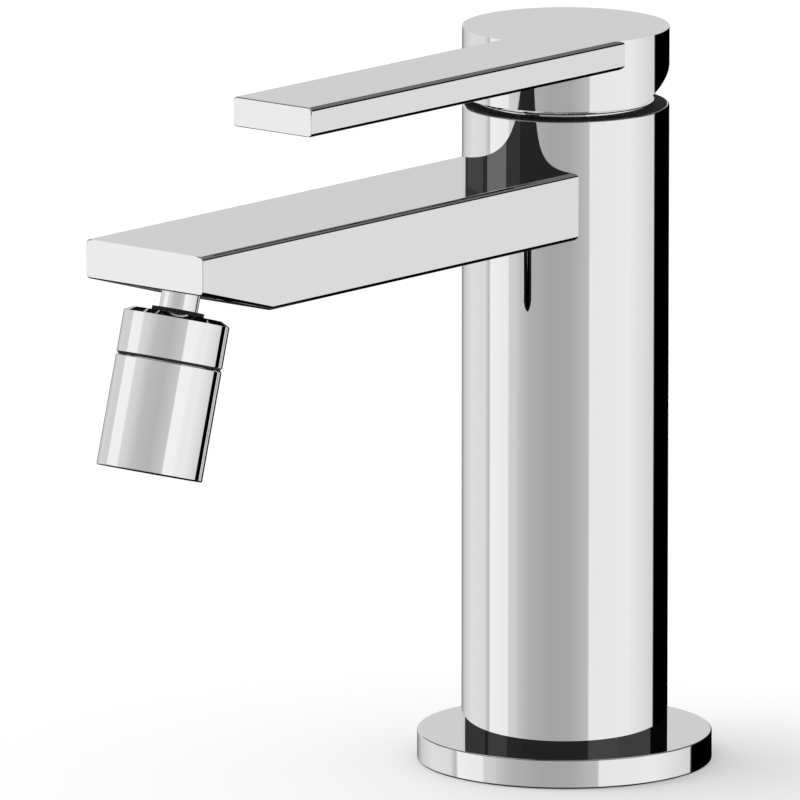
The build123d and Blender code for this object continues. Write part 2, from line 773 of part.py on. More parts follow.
# Aerator insert: gasket, plastic housing and outlet screen
aerator_radius = chamber_radius - seat_gap
with BuildPart() as aerator_gasket:
    with BuildSketch(swivel_face.offset(chamber_start)):
        Circle(aerator_radius)
        Circle(barrel_throat_radius + aerator_wall, mode=Mode.SUBTRACT)
    extrude(amount=aerator_gasket_thickness)
aerator_gasket.part.label = "aerator_gasket"
export_step(aerator_gasket.part, "parts/aerator_gasket.step")

aerator_start = chamber_start + aerator_gasket_thickness
aerator_end = swivel_end - aerator_recess
screen_start = aerator_end - aerator_screen_setback
with BuildPart() as aerator_housing:
    with BuildSketch(swivel_face.offset(aerator_start)):
        Circle(aerator_radius)
        Circle(barrel_throat_radius, mode=Mode.SUBTRACT)
    extrude(amount=aerator_end - aerator_start)
    with BuildSketch(swivel_face.offset(aerator_start + aerator_wall)):
        Circle(aerator_radius - aerator_wall)
    extrude(amount=aerator_end - aerator_start, mode=Mode.SUBTRACT)
aerator_housing.part.label = "aerator_housing"
export_step(aerator_housing.part, "parts/aerator_housing.step")

with BuildPart() as aerator_screen:
    with BuildSketch(swivel_face.offset(screen_start)):
        Circle(aerator_radius - aerator_wall - seat_gap)
        Circle(aerator_grid_radius, mode=Mode.SUBTRACT)
        for row in range(1, screen_rows + 1):
            with PolarLocations(row * aerator_grid_pitch, 6 * row):
                Circle(aerator_grid_radius, mode=Mode.SUBTRACT)
    extrude(amount=aerator_screen_thickness)
aerator_screen.part.label = "aerator_screen"
export_step(aerator_screen.part, "parts/aerator_screen.step")
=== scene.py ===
import json
import logging
import math
from dataclasses import dataclass
from enum import Enum
from typing import Iterable, Sequence

import bmesh
import bpy
from mathutils import Matrix, Vector


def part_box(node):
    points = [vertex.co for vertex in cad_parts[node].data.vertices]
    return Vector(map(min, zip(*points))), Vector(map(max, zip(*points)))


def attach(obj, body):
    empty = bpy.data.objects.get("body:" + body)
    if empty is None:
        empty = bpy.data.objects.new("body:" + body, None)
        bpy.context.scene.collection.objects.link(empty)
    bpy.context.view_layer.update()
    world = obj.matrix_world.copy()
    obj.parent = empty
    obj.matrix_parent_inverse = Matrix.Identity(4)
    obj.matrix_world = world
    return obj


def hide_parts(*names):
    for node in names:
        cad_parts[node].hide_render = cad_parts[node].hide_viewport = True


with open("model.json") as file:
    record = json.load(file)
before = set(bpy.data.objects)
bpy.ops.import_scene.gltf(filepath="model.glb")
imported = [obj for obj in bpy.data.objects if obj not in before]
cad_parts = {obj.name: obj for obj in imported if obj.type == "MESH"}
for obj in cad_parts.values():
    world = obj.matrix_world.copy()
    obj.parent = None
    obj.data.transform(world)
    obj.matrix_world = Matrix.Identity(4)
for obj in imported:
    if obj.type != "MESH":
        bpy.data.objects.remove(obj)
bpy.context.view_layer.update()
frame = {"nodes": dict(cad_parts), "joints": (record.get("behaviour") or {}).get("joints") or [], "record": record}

log = logging.getLogger("bidet_mixer")

Span = tuple[float, float]
Triple = tuple[float, float, float]
Grey = tuple[float, float, float, float]
Inputs = dict[str | int, object]
Socket = bpy.types.NodeSocket
Mesh = bmesh.types.BMesh
Vert = bmesh.types.BMVert
Edge = bmesh.types.BMEdge
Face = bmesh.types.BMFace

MM = 0.001
MICRON = 0.000001
TOUCH = 0.005 * MM
WELD = TOUCH / 10
ROUND_STEPS = 192
SMALL_STEPS = 96
BALL_STEPS = 20
CUP_STEPS = 12
BEVEL_STEPS = 4
CARD_STEPS = 16
CREASE = 35.0
FINE_CREASE = 10.0
FACE_WEIGHT = 90
FACING = 0.99
NOISE_SPAN = (0.3, 0.7)
LATHE_WOBBLE = 0.4
RIGHT = Vector((1.0, 0.0, 0.0))
UP = Vector((0.0, 0.0, 1.0))
MIDDLE = (0.0, 0.0, 0.0)


class Texture(Enum):
    """How a surface was made. The value is how many finer layers its pattern has."""

    POLISHED = 2.0
    TURNED = 4.0
    MOULDED = 3.0
    RUBBER = 6.0
    LAPPED = 1.0


class NodeSheet:
    """The node tree of a material or a world, with short calls that add nodes."""

    def __init__(self, owner: bpy.types.Material | bpy.types.World) -> None:
        """Takes a material's or a world's node tree and empties it.

        Args:
            owner: the material or the world.
        """
        owner.use_nodes = True
        self.tree = owner.node_tree
        self.tree.nodes.clear()

    def add(self, kind: str, inputs: Inputs | None = None, **settings: object) -> bpy.types.Node:
        """Adds one node.

        Args:
            kind: the node's type name.
            inputs: constants and other nodes' outputs, by the input's name or number.
            **settings: the node's own properties.

        Returns:
            The new node.
        """
        node = self.tree.nodes.new(kind)
        for name, value in settings.items():
            setattr(node, name, value)
        for key, value in (inputs or {}).items():
            if isinstance(value, Socket):
                self.tree.links.new(value, node.inputs[key])
            else:
                node.inputs[key].default_value = value
        return node

    def calc(self, operation: str, *values: float | Socket, **settings: object) -> Socket:
        """Adds one arithmetic node and gives its result."""
        return self.add("ShaderNodeMath", dict(enumerate(values)), operation=operation, **settings).outputs[0]

    def remap(self, value: Socket, source: Span, target: Span = (0.0, 1.0)) -> Socket:
        """Maps one span of numbers to another and holds its ends."""
        spans = dict(zip(("From Min", "From Max", "To Min", "To Max"), (*source, *target)))
        return self.add("ShaderNodeMapRange", {"Value": value, **spans}, clamp=True).outputs["Result"]

    def noise(self, place: Socket, size: float, detail: float) -> Socket:
        """Adds noise with patches of a given width and a number of finer layers."""
        inputs = {"Vector": place, "Scale": 1.0 / size, "Detail": detail}
        return self.add("ShaderNodeTexNoise", inputs).outputs["Fac"]

    def mix(self, first: Grey | Socket, second: Grey | Socket, share: Socket) -> Socket:
        """Mixes two colours by the share of the second."""
        inputs = {"Factor": share, "A": first, "B": second}
        return self.add("ShaderNodeMix", inputs, data_type="RGBA").outputs["Result"]

    def ramp(self, value: Socket, span: Span, stops: Iterable[Span]) -> Socket:
        """Adds a grey ramp.

        Args:
            value: where the ramp is read.
            span: where it starts and ends.
            stops: each stop's place in the span, and its grey.

        Returns:
            The grey.
        """
        low, high = span
        node = self.add("ShaderNodeValToRGB", {"Fac": self.remap(value, span)})
        elements = node.color_ramp.elements
        elements.remove(elements[-1])
        for number, (place, light) in enumerate(stops):
            spot = (place - low) / (high - low)
            element = elements[0] if number == 0 else elements.new(spot)
            element.position = spot
            element.color = grey(light)
        return node.outputs["Color"]

    def end(self, surface: bpy.types.Node) -> None:
        """Joins a shader node to the material's output."""
        self.add("ShaderNodeOutputMaterial", {"Surface": surface.outputs[0]})

    def glow(self, light: Grey | Socket) -> None:
        """Ends the material as plain glowing light."""
        self.end(self.add("ShaderNodeEmission", {"Strength": 1.0, "Color": light}))


def grey(light: float) -> Grey:
    """Gives a grey as a node's colour."""
    return (light, light, light, 1.0)


@dataclass(frozen=True)
class Finish:
    """How one kind of surface looks. Lengths are in metres."""

    name: str
    slot: str  # the record's material slot
    texture: Texture
    colour: Triple
    shade: Triple  # the second colour that the pattern brings in
    roughness: Span  # the least and the greatest
    pattern: float  # the width of the pattern's patches
    relief: float  # the height of the fine relief
    relief_pattern: float  # the width of the relief's patches
    metallic: float = 0.0
    coat: float = 0.0  # the strength of a clear gloss on top

    def material(self) -> bpy.types.Material:
        """Makes the material, or finds it if it is there already.

        Returns:
            The material.
        """
        ready = bpy.data.materials.get(self.name)
        if ready is not None:
            return ready
        made = bpy.data.materials.new(self.name)
        sheet = NodeSheet(made)
        place = sheet.add("ShaderNodeTexCoord").outputs["Object"]
        patches = sheet.noise(place, self.pattern, self.texture.value)
        colour, shade = (*self.colour, 1.0), (*self.shade, 1.0)
        if colour != shade:
            colour = sheet.mix(colour, shade, sheet.remap(patches, NOISE_SPAN))
        if self.texture is Texture.TURNED:
            rings = {"Vector": place, "Scale": 1.0 / self.relief_pattern, "Distortion": LATHE_WOBBLE}
            wave = sheet.add("ShaderNodeTexWave", rings, wave_type="RINGS", rings_direction="Z")
            height = wave.outputs["Fac"]
        else:
            height = sheet.noise(place, self.relief_pattern, 1.0)
        bump = {"Strength": 1.0, "Distance": self.relief, "Height": height}
        shader = {
            "Base Color": colour,
            "Metallic": self.metallic,
            "Roughness": sheet.remap(patches, NOISE_SPAN, self.roughness),
            "Coat Weight": self.coat,
            "Normal": sheet.add("ShaderNodeBump", bump).outputs["Normal"],
        }
        sheet.end(sheet.add("ShaderNodeBsdfPrincipled", shader))
        return made


CHROME = Finish(
    "polished_chrome", "chrome_plate", Texture.POLISHED, colour=(0.87, 0.87, 0.872),
    shade=(0.87, 0.87, 0.872), roughness=(0.012, 0.03), pattern=7.0 * MM, relief=1.0 * MICRON,
    relief_pattern=9.0 * MM, metallic=1.0,
)
BRASS = Finish(
    "turned_brass", "raw_brass", Texture.TURNED, colour=(0.78, 0.60, 0.30), shade=(0.66, 0.48, 0.22),
    roughness=(0.22, 0.36), pattern=3.0 * MM, relief=4.0 * MICRON, relief_pattern=0.35 * MM, metallic=1.0,
)
STEEL = Finish(
    "machined_steel", "steel", Texture.TURNED, colour=(0.62, 0.63, 0.64), shade=(0.52, 0.53, 0.55),
    roughness=(0.2, 0.34), pattern=2.0 * MM, relief=3.0 * MICRON, relief_pattern=0.25 * MM, metallic=1.0,
)
# Black rubber. Its near-black also serves as painted shade, on the thin ring in the gap under the lever's head.
RUBBER = Finish(
    "black_rubber", "black_rubber", Texture.RUBBER, colour=(0.010, 0.010, 0.011), shade=(0.020, 0.020, 0.019),
    roughness=(0.55, 0.8), pattern=0.9 * MM, relief=12.0 * MICRON, relief_pattern=0.25 * MM,
)
WHITE_PLASTIC = Finish(
    "white_acetal", "white_plastic", Texture.MOULDED, colour=(0.86, 0.86, 0.84), shade=(0.80, 0.80, 0.77),
    roughness=(0.3, 0.45), pattern=4.0 * MM, relief=4.0 * MICRON, relief_pattern=0.3 * MM,
)
GREY_PLASTIC = Finish(
    "grey_moulding", "grey_plastic", Texture.MOULDED, colour=(0.42, 0.43, 0.44), shade=(0.35, 0.36, 0.37),
    roughness=(0.4, 0.6), pattern=3.0 * MM, relief=8.0 * MICRON, relief_pattern=0.2 * MM,
)
CERAMIC = Finish(
    "lapped_ceramic", "ceramic", Texture.LAPPED, colour=(0.90, 0.90, 0.88), shade=(0.84, 0.84, 0.81),
    roughness=(0.12, 0.2), pattern=5.0 * MM, relief=0.5 * MICRON, relief_pattern=1.0 * MM, coat=0.3,
)
FINISHES = (CHROME, BRASS, STEEL, RUBBER, WHITE_PLASTIC, GREY_PLASTIC, CERAMIC)


@dataclass(frozen=True)
class Corner:
    """One corner of a turned piece's outline, by its distance from the axis and its place along it."""

    radius: float
    height: float
    rounding: float = 0.0  # the radius that breaks its edge, or 0 for a sharp one


def ring(inside: float, outside: float, low: float, high: float, rounding: float = 0.0) -> list[Corner]:
    """Gives the outline of a plain ring, with all its edges rounded alike."""
    spots = ((inside, low), (outside, low), (outside, high), (inside, high))
    return [Corner(radius, height, rounding) for radius, height in spots]


def arc(radius: float, centre: float, start: float, end: float, steps: int) -> list[Corner]:
    """Follows the outline of a ball on the axis, from one angle to another in degrees from the axis."""
    angles = [math.radians(start + (end - start) * step / steps) for step in range(steps + 1)]
    return [Corner(radius * math.sin(a), centre + radius * math.cos(a)) for a in angles]


def near(first: float, second: float) -> bool:
    """Says whether two lengths are the same but for rounding."""
    return abs(first - second) < TOUCH


def lies_at(item: Edge | Face, **place: float) -> bool:
    """Says whether every corner of an edge or a face has the given x, y or z."""
    return all(near(getattr(vert.co, axis), value) for vert in item.verts for axis, value in place.items())


def on_rings(edge: Edge, rings: Iterable[Corner]) -> bool:
    """Says whether an edge runs round the axis at one of the given corners."""
    ends = [(math.hypot(vert.co.x, vert.co.y), vert.co.z) for vert in edge.verts]
    return any(all(near(r, ring.radius) and near(z, ring.height) for r, z in ends) for ring in rings)


def only(kind: type, items: Iterable[Vert | Edge | Face]) -> list:
    """Picks the corners, the edges or the faces out of what a mesh call gives back."""
    return [item for item in items if isinstance(item, kind)]


def face_out(mesh: Mesh) -> None:
    """Points every face of a closed mesh outward."""
    bmesh.ops.recalc_face_normals(mesh, faces=mesh.faces)


def bevel_edges(mesh: Mesh, edges: Iterable[Edge], size: float) -> None:
    """Rounds edges.

    Args:
        mesh: the mesh that holds them.
        edges: the edges.
        size: the rounding's radius.
    """
    bmesh.ops.bevel(
        mesh, geom=list(edges), offset=size, offset_type="OFFSET", segments=BEVEL_STEPS, profile=0.5,
        affect="EDGES", material=-1, clamp_overlap=True,
    )


def grow(mesh: Mesh, faces: list[Face], shift: Sequence[float], keep: bool = False) -> list:
    """Extrudes faces.

    Args:
        mesh: the mesh that holds them.
        faces: the faces.
        shift: how far they go.
        keep: leaves the old faces where they were, to close an open sheet.

    Returns:
        What has grown.
    """
    grown = bmesh.ops.extrude_face_region(mesh, geom=faces, use_keep_orig=keep)["geom"]
    bmesh.ops.translate(mesh, vec=shift, verts=only(Vert, grown))
    return grown


def turned(corners: Sequence[Corner], steps: int = ROUND_STEPS) -> Mesh:
    """Turns a closed outline about the upright axis.

    Args:
        corners: the outline's corners, in order. The last joins the first.
        steps: how many faces go round.

    Returns:
        The turned mesh, its faces pointing out.
    """
    mesh = bmesh.new()
    points = [mesh.verts.new((corner.radius, 0.0, corner.height)) for corner in corners]
    edges = [mesh.edges.new((points[step - 1], points[step])) for step in range(len(points))]
    bmesh.ops.spin(
        mesh, geom=points + edges, cent=MIDDLE, axis=UP, angle=math.tau, steps=steps, use_merge=True,
    )
    bmesh.ops.remove_doubles(mesh, verts=mesh.verts, dist=WELD)
    face_out(mesh)
    for size in sorted({corner.rounding for corner in corners if corner.rounding}):
        rings = [corner for corner in corners if corner.rounding == size]
        bevel_edges(mesh, [edge for edge in mesh.edges if on_rings(edge, rings)], size)
    return mesh


def new_object(name: str, mesh: Mesh, material: bpy.types.Material) -> bpy.types.Object:
    """Makes an object.

    Args:
        name: its name.
        mesh: its shape, which is used up.
        material: its material.

    Returns:
        The object.
    """
    data = bpy.data.meshes.new(name)
    mesh.to_mesh(data)
    mesh.free()
    data.materials.append(material)
    made = bpy.data.objects.new(name, data)
    bpy.context.scene.collection.objects.link(made)
    return made


def round_node(name: str) -> tuple[float, float, float]:
    """Gives the lowest point, the highest point and the radius of a round node on the column's axis."""
    low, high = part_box(name)
    return low.z, high.z, high.x


@dataclass
class SubAssembly:
    """Pieces that belong together and ride on one body."""

    body: str

    def finish_piece(
        self, name: str, mesh: Mesh, finish: Finish, replaces: Sequence[str] = (),
        place: Matrix | None = None, crease: float = CREASE,
    ) -> None:
        """Makes a piece from its mesh, dresses it and lets it ride on its body.

        Args:
            name: the piece's name.
            mesh: its shape, which is used up.
            finish: its finish.
            replaces: the nodes of the frame that it stands for.
            place: where the mesh goes, if it isn't made in place.
            crease: the angle in degrees above which an edge is shown sharp.
        """
        if place is not None:
            bmesh.ops.transform(mesh, matrix=place, verts=mesh.verts)
        for face in mesh.faces:
            face.smooth = True
        piece = new_object(name, mesh, finish.material())
        piece.data.set_sharp_from_angle(angle=math.radians(crease))
        level = piece.modifiers.new("even_normals", "WEIGHTED_NORMAL")
        level.mode = "FACE_AREA"
        level.weight = FACE_WEIGHT
        level.keep_sharp = True
        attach(piece, self.body)
        if replaces:
            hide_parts(*replaces)
        log.info("%s: %d faces on %s, %s", name, len(piece.data.polygons), self.body, finish.name)


@dataclass
class Foot(SubAssembly):
    """The flange on the deck and the threads in the block that closes the column."""

    rim_round: float = 0.3 * MM  # of the flange's outer edges
    bore: float = 18.1 * MM  # for the inlet block's foot
    gasket_edges: Span = (23.35 * MM, 26.95 * MM)
    groove_depth: float = 1.55 * MM  # for the gasket
    inlet_place: Span = (-7.8 * MM, 4.5 * MM)  # of the hot one, to the right and to the back
    inlet_radius: float = 4.46 * MM  # of the core
    inlet_pitch: float = 1.0 * MM
    stud_place: Span = (0.0, -10.0 * MM)
    stud_radius: float = 3.32 * MM  # of the core
    stud_pitch: float = 1.25 * MM
    thread_start: float = 12.6 * MM  # the height of the threads' mouths
    thread_length: float = 10.8 * MM
    ridge_depth: float = 0.5  # of the pitch, as the next two
    ridge_foot: float = 0.42  # half the ridge's width where it stands on the core
    ridge_top: float = 0.105  # half its width at the top

    def build(self) -> None:
        """Makes the flange and the three threads."""
        self.flange()
        left, back = self.inlet_place
        for name, across in (("hot_inlet_thread", left), ("cold_inlet_thread", -left)):
            self.thread(name, (across, back), self.inlet_radius, self.inlet_pitch)
        self.thread("stud_thread", self.stud_place, self.stud_radius, self.stud_pitch)

    def flange(self) -> None:
        """Makes the round flange, with the gasket's groove in its underside."""
        bottom, top, outside = round_node("base_flange")
        inner, outer = self.gasket_edges
        groove = bottom + self.groove_depth
        corners = (
            Corner(self.bore, bottom), Corner(inner, bottom), Corner(inner, groove), Corner(outer, groove),
            Corner(outer, bottom), Corner(outside, bottom, self.rim_round),
            Corner(outside, top, self.rim_round), Corner(self.bore, top),
        )
        self.finish_piece("flange", turned(corners), CHROME, ("base_flange",))

    def thread(self, name: str, centre: Span, radius: float, pitch: float) -> None:
        """Winds the ridge of one female thread, closed at both ends.

        Args:
            name: the piece's name.
            centre: its axis across the block.
            radius: its core radius.
            pitch: the climb of one turn.
        """
        mesh = bmesh.new()
        top = radius - pitch * self.ridge_depth
        wide, narrow = pitch * self.ridge_foot, pitch * self.ridge_top
        shape = ((radius, -wide), (top, -narrow), (top, narrow), (radius, wide))
        points = [mesh.verts.new((along, 0.0, self.thread_start + rise)) for along, rise in shape]
        end = mesh.faces.new(points)
        turns = self.thread_length / pitch
        steps = round(turns * SMALL_STEPS / 2)
        bmesh.ops.spin(
            mesh, geom=[end, *end.edges, *points], cent=MIDDLE, axis=UP,
            dvec=(0.0, 0.0, self.thread_length / steps), angle=math.tau * turns, steps=steps, use_merge=False,
        )
        bmesh.ops.holes_fill(mesh, edges=[edge for edge in mesh.edges if edge.is_boundary], sides=len(shape))
        face_out(mesh)
        self.finish_piece(name, mesh, BRASS, place=Matrix.Translation((*centre, 0.0)))


@dataclass
class Column(SubAssembly):
    """The upright tube, the ring that closes its top, and a thin black rubber ring on its top that paints the
    shade in the gap under the head.
    """

    wall: float = 2.0 * MM
    rim_round: float = 0.3 * MM  # of the tube's upper edge
    ring_bore: float = 13.0 * MM
    ring_step: float = 19.4 * MM  # where the ring stands up, inside the washer
    ring_rise: float = 1.0 * MM  # how far it stands up
    ring_edge: float = 0.25 * MM  # the break of its edges
    painted_shade_edge: float = 22.0 * MM  # the outer radius of the thin black ring of painted shade under the head
    painted_shade_height: float = 0.12 * MM

    def build(self) -> None:
        """Makes the tube, the ring and the thin black ring of painted shade under the head."""
        bottom, top, outside = round_node("column_body")
        bore = outside - self.wall
        tube = (
            Corner(bore, bottom), Corner(outside, bottom), Corner(outside, top, self.rim_round),
            Corner(bore, top),
        )
        self.finish_piece("column", turned(tube), CHROME, ("column_body",))
        base, rim, edge = round_node("cover_ring")
        lid = (
            Corner(self.ring_bore, base), Corner(edge, base), Corner(edge, rim), Corner(self.ring_step, rim),
            Corner(self.ring_step, rim + self.ring_rise, self.ring_edge),
            Corner(self.ring_bore, rim + self.ring_rise, self.ring_edge),
        )
        self.finish_piece("top_ring", turned(lid), CHROME, ("cover_ring",))
        # Painted shade: a thin black rubber ring stands for the shade in the gap between the column's top and the
        # head.
        foot = rim + TOUCH
        painted_shade_ring = ring(self.ring_step + TOUCH, self.painted_shade_edge, foot, foot + self.painted_shade_height)
        self.finish_piece("head_gap_painted_shade", turned(painted_shade_ring), RUBBER)


@dataclass
class SwivelSide(SubAssembly):
    """Pieces at the swivel's axis. Lengths along it are counted from the spout's slanted underside."""

    ball_start: float = 6.95 * MM  # from that face to the ball's centre

    def __post_init__(self) -> None:
        """Reads the ball's centre and the axis towards the outlet from the frame."""
        spin = next(joint for joint in frame["joints"] if joint["name"] == "aerator_spin")
        self.centre, self.down = Vector(spin["pos_m"]), Vector(spin["axis"]).normalized()

    def place(self) -> Matrix:
        """Gives the transform that moves a turned piece from the upright axis to this one."""
        turn = Matrix((RIGHT, self.down.cross(RIGHT), self.down)).transposed()
        return Matrix.Translation(self.centre - self.down * self.ball_start) @ turn.to_4x4()

    def turn(
        self, name: str, corners: Sequence[Corner], finish: Finish, replaces: Sequence[str] = (),
        steps: int = ROUND_STEPS,
    ) -> None:
        """Makes one turned piece on the swivel's axis, from its outline, its finish and what it replaces."""
        self.finish_piece(name, turned(corners, steps), finish, replaces, self.place())


@dataclass
class SpoutArm(SwivelSide):
    """The flat arm with its slanted end."""

    tip_height: float = 8.4 * MM  # of its end face
    slant_run: float = 22.5 * MM  # how far the slanted underside reaches back
    edge_round: float = 1.0 * MM  # of its long edges
    tip_round: float = 0.3 * MM  # of the edges round its end face, other than the top one
    root: float = 14.4 * MM  # where it starts, inside the column's wall
    mouth_radius: float = 7.55 * MM  # of the hole for the threaded bush
    mouth_depth: float = 5.5 * MM

    def build(self) -> None:
        """Makes the arm as one closed shell."""
        low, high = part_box("spout_arm")
        outline = (
            (-self.root, low.z), (low.y + self.slant_run, low.z), (low.y, high.z - self.tip_height),
            (low.y, high.z), (-self.root, high.z),
        )
        mesh = bmesh.new()
        points = [mesh.verts.new((low.x, along, height)) for along, height in outline]
        side = bmesh.ops.contextual_create(mesh, geom=points)["faces"]
        grow(mesh, side, (high.x - low.x, 0.0, 0.0), keep=True)
        face_out(mesh)
        bevel_edges(mesh, [edge for edge in mesh.edges if self.is_long(edge)], self.edge_round)
        end = [edge for edge in mesh.edges if lies_at(edge, y=low.y) and not lies_at(edge, z=high.z)]
        bevel_edges(mesh, end, self.tip_round)
        self.open_mouth(mesh)
        self.finish_piece("spout", mesh, CHROME, ("spout_arm",))

    def is_long(self, edge: Edge) -> bool:
        """Says whether an edge runs along the arm."""
        first, second = (vert.co for vert in edge.verts)
        return near(first.x, second.x) and abs(first.y - second.y) > self.edge_round

    def open_mouth(self, mesh: Mesh) -> None:
        """Sinks the round hole for the bush into the slanted face.

        Args:
            mesh: the arm's mesh.
        """
        slanted = [face for face in mesh.faces if face.normal.dot(self.down) > FACING]
        slanted = max(slanted, key=lambda face: face.calc_area())
        rim = list(slanted.edges)
        bmesh.ops.delete(mesh, geom=[slanted], context="FACES_ONLY")
        circle = bmesh.ops.create_circle(
            mesh, cap_ends=False, segments=SMALL_STEPS, radius=self.mouth_radius, matrix=self.place(),
        )["verts"]
        hole = list(dict.fromkeys(edge for vert in circle for edge in vert.link_edges))
        bmesh.ops.triangle_fill(mesh, edges=rim + hole, use_beauty=True, normal=self.down)
        grown = bmesh.ops.extrude_edge_only(mesh, edges=hole)["geom"]
        bmesh.ops.translate(mesh, vec=-self.down * self.mouth_depth, verts=only(Vert, grown))
        bmesh.ops.edgeloop_fill(mesh, edges=only(Edge, grown))
        face_out(mesh)


@dataclass
class BallStem(SwivelSide):
    """The threaded stem with the ball that the aerator swings on."""

    neck_radius: float = 4.15 * MM
    ball_radius: float = 5.6 * MM
    shank_radius: float = 5.2 * MM  # of its thread in the bush
    shank_length: float = 4.5 * MM
    foot: float = 4.9 * MM  # how far below its centre the ball is cut off
    bore: float = 2.2 * MM  # the water way's radius

    def build(self) -> None:
        """Makes the stem in one turned piece."""
        centre = self.ball_start
        start = 180.0 - math.degrees(math.asin(self.neck_radius / self.ball_radius))
        end = math.degrees(math.acos(self.foot / self.ball_radius))
        corners = (
            Corner(self.bore, -self.shank_length), Corner(self.shank_radius, -self.shank_length),
            Corner(self.shank_radius, 0.0), Corner(self.neck_radius, 0.0),
            *arc(self.ball_radius, centre, start, end, BALL_STEPS), Corner(self.bore, centre + self.foot),
        )
        self.turn("ball_and_neck", corners, CHROME, ("ball_stem",), SMALL_STEPS)


@dataclass
class AeratorHead(SwivelSide):
    """The collar and the barrel that swing on the ball, and the aerator in them."""

    radius: float = 11.35 * MM  # of both
    collar_start: float = 4.15 * MM
    collar_end: float = 14.0 * MM
    chamfer_width: float = 1.9 * MM  # of the collar's upper edge
    chamfer_height: float = 0.95 * MM
    opening: float = 4.9 * MM  # the hole that the ball looks out of
    groove: float = 0.3 * MM  # the fine gap between collar and barrel
    shoulder: float = 0.5 * MM  # the bevel at the barrel's upper edge
    end: float = 38.4 * MM  # of the barrel
    lip_round: float = 0.3 * MM  # of the barrel's lower edges
    edge_break: float = 0.06 * MM  # of the other edges
    wiper_setback: float = 0.22 * MM  # how far the rubber ring in the gap lies inside it
    lip_start: float = 3.25 * MM  # of the rubber lip round the neck
    lip_width: float = 0.45 * MM
    lip_radius: float = 5.6 * MM  # its outer radius
    spigot_radius: float = 9.0 * MM  # of the barrel's neck inside the collar
    spigot_start: float = 7.65 * MM
    spigot_play: float = 0.1 * MM  # round that neck
    seat_gap: float = 0.05 * MM  # above that neck
    seat_width: float = 1.7 * MM  # how far the collar reaches in over the cup
    cup_radius: float = 7.5 * MM  # of the cup for the ball and its liners
    throat: float = 4.0 * MM  # the water way's radius
    chamber_start: float = 22.9 * MM  # of the aerator's chamber
    chamber_radius: float = 9.5 * MM
    insert_recess: float = 1.0 * MM  # how far the insert lies inside the barrel
    insert_wall: float = 1.3 * MM
    key_height: float = 0.6 * MM  # of the insert's key blocks
    key_count: int = 12
    key_share: float = 0.5  # of the way round that the blocks fill
    gasket_height: float = 1.1 * MM  # of the gasket over the insert
    gasket_softness: float = 0.2  # the rounding of its edges, of its height
    cell_pitch: float = 1.5 * MM  # between the cells of the outlet
    cell_wall: float = 0.3 * MM
    cell_depth: float = 1.6 * MM
    cell_rings: int = 4
    cell_setback: float = 0.6  # how far the cells lie inside the insert, of their depth
    cell_turn: float = 30.0  # that sets the hexagons side by side, in degrees
    carrier_reach: float = 0.2  # of the carrier's bore past the outer cells' centres, in pitches

    def build(self) -> None:
        """Makes the collar, the barrel, the rubber at both and the aerator's pieces."""
        self.collar()
        self.barrel()
        self.rubber()
        self.insert()
        self.cells()

    def collar(self) -> None:
        """Makes the collar, whose lip holds the ball."""
        bore = self.spigot_radius + self.spigot_play
        seat = self.spigot_start - self.seat_gap
        ball_room = self.cup_radius - self.seat_width
        corners = (
            Corner(self.opening, self.collar_start, self.edge_break),
            Corner(self.radius - self.chamfer_width, self.collar_start, self.edge_break),
            Corner(self.radius, self.collar_start + self.chamfer_height, self.edge_break),
            Corner(self.radius, self.collar_end, self.edge_break),
            Corner(bore, self.collar_end), Corner(bore, seat), Corner(ball_room, seat),
            Corner(ball_room, self.ball_start - self.edge_break),
        )
        self.turn("collar", corners, CHROME, ("swivel_collar",))

    def barrel(self) -> None:
        """Makes the barrel, with the ball's cup above and the aerator's chamber below."""
        start = self.collar_end + self.groove
        centre = self.ball_start
        rim = math.degrees(math.acos((self.spigot_start - centre) / self.cup_radius))
        foot = math.degrees(math.asin(self.throat / self.cup_radius))
        corners = (
            *arc(self.cup_radius, centre, rim, foot, CUP_STEPS), Corner(self.throat, self.chamber_start),
            Corner(self.chamber_radius, self.chamber_start),
            Corner(self.chamber_radius, self.end, self.lip_round),
            Corner(self.radius, self.end, self.lip_round),
            Corner(self.radius, start + self.shoulder, self.edge_break),
            Corner(self.radius - self.shoulder, start, self.edge_break), Corner(self.spigot_radius, start),
            Corner(self.spigot_radius, self.spigot_start),
        )
        self.turn("barrel", corners, CHROME, ("aerator_barrel",))

    def rubber(self) -> None:
        """Makes the ring in the gap, the lip that stands on the collar, and the gasket over the insert."""
        inside, outside = self.spigot_radius + TOUCH, self.radius - self.wiper_setback
        wiper = ring(inside, outside, self.collar_end + TOUCH, self.collar_end + self.groove - TOUCH)
        self.turn("wiper_ring", wiper, RUBBER)
        inside, outside = self.lip_radius - self.lip_width, self.lip_radius
        lip = ring(inside, outside, self.lip_start, self.collar_start - TOUCH)
        self.turn("neck_lip", lip, RUBBER, steps=SMALL_STEPS)
        inside, outside = self.throat + self.insert_wall, self.chamber_radius - self.edge_break
        top, soft = self.chamber_start, self.gasket_height * self.gasket_softness
        gasket = ring(inside, outside, top, top + self.gasket_height, soft)
        self.turn("insert_seal", gasket, RUBBER, ("aerator_gasket",), SMALL_STEPS)

